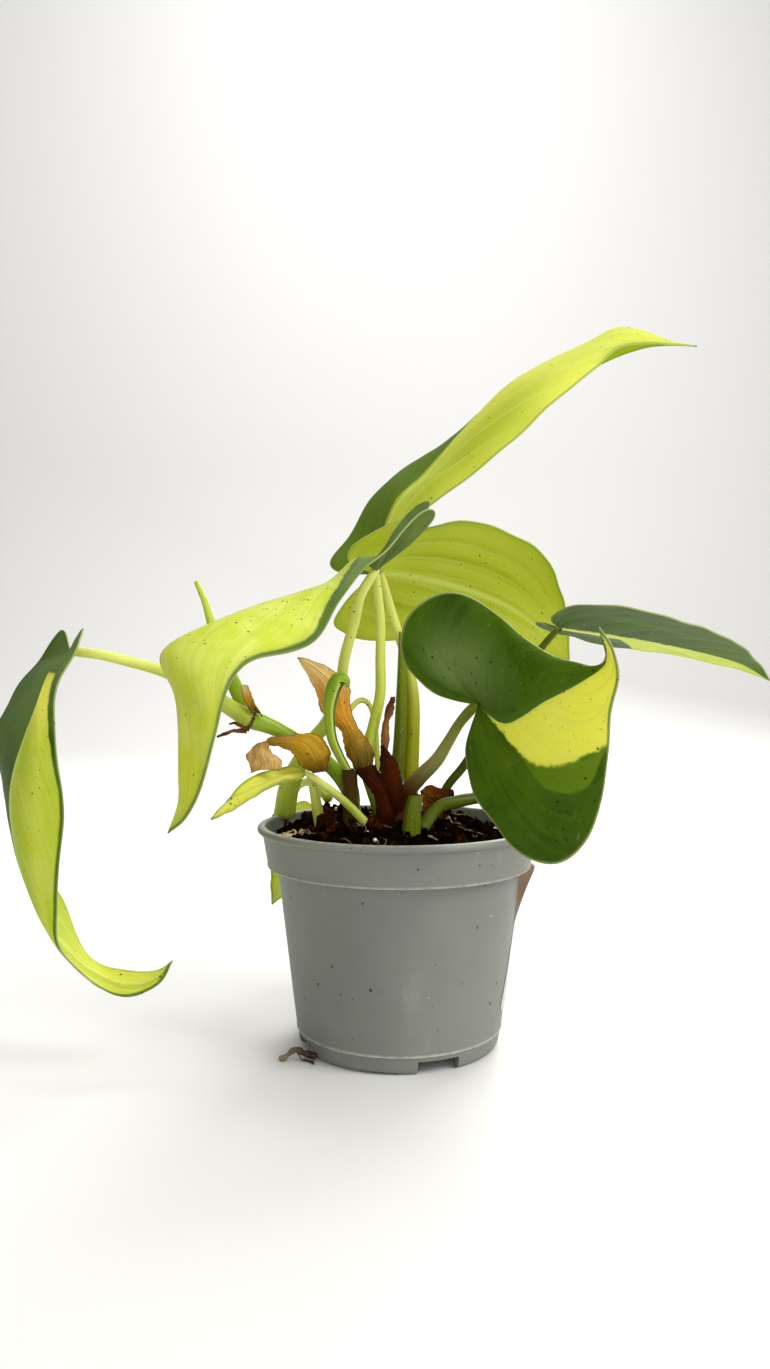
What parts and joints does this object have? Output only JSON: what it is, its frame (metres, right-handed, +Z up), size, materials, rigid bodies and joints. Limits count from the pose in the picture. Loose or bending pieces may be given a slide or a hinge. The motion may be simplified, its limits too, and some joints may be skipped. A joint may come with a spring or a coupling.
{
  "type": "potted philodendron",
  "caption": "Small climbing plant with limp, folded lime and dark green leaves on long stalks, growing from soil in a round grey nursery pot.",
  "frame": {"origin": "on the table, under the middle of the plant's overall width and depth; the pot's axis stands 2 mm to the right of it and 7 mm behind it", "axes": "+X to the right, +Y to the back, +Z up"},
  "size_m": [0.2544, 0.1516, 0.2332],
  "materials": {
    "pot_plastic": "grey recycled polypropylene, matt with fine mould texture",
    "potting_soil": "moist dark brown peat and bark, matt",
    "label_paper": "off-white printed-paper sticker, blank",
    "leaf_variegated": "satin leaf, lime and dark green, paler beneath",
    "leaf_dark": "satin leaf, mostly dark green with lime patches",
    "stem_lime": "smooth pale lime petiole",
    "stem_green": "smooth mid-green stem",
    "stump": "olive cut stem with a dry brown end",
    "husk_brown": "dry papery brown husk",
    "husk_red": "dark red-brown husk",
    "root_brown": "brown root with crumbs of soil"
  },
  "bodies": {
    "root": {"pot": "pot_plastic", "soil": "potting_soil", "plant_label": "label_paper", "leaf_top": "leaf_variegated", "leaf_front_left": "leaf_variegated", "leaf_back": "leaf_variegated", "leaf_front_right": "leaf_dark", "leaf_right": "leaf_dark", "leaf_left_hanging": "leaf_variegated", "leaf_small": "leaf_variegated", "leaf_behind_pot": "leaf_variegated", "petiole_top": "stem_lime", "petiole_front_left": "stem_lime", "petiole_back": "stem_lime", "petiole_front_right": "stem_green", "petiole_right": "stem_green", "petiole_left_hanging": "stem_lime", "petiole_small": "stem_lime", "petiole_behind_pot": "stem_lime", "stem_main": "stem_green", "stem_left_branch": "stem_green", "stem_low_right": "stem_green", "stem_arched": "stem_lime", "stem_pale_stub": "stem_lime", "stump_left": "stump", "stump_front": "stump", "new_leaf_spear": "stem_lime", "new_leaf_rolled": "stem_lime", "drain_root": "root_brown", "husk_tall": "husk_brown", "husk_low": "husk_brown", "husk_node": "husk_brown", "husk_stem": "husk_red", "husk_red_point": "husk_red", "husk_red_base": "husk_red", "husk_right": "husk_red"}
  },
  "joints": []
}
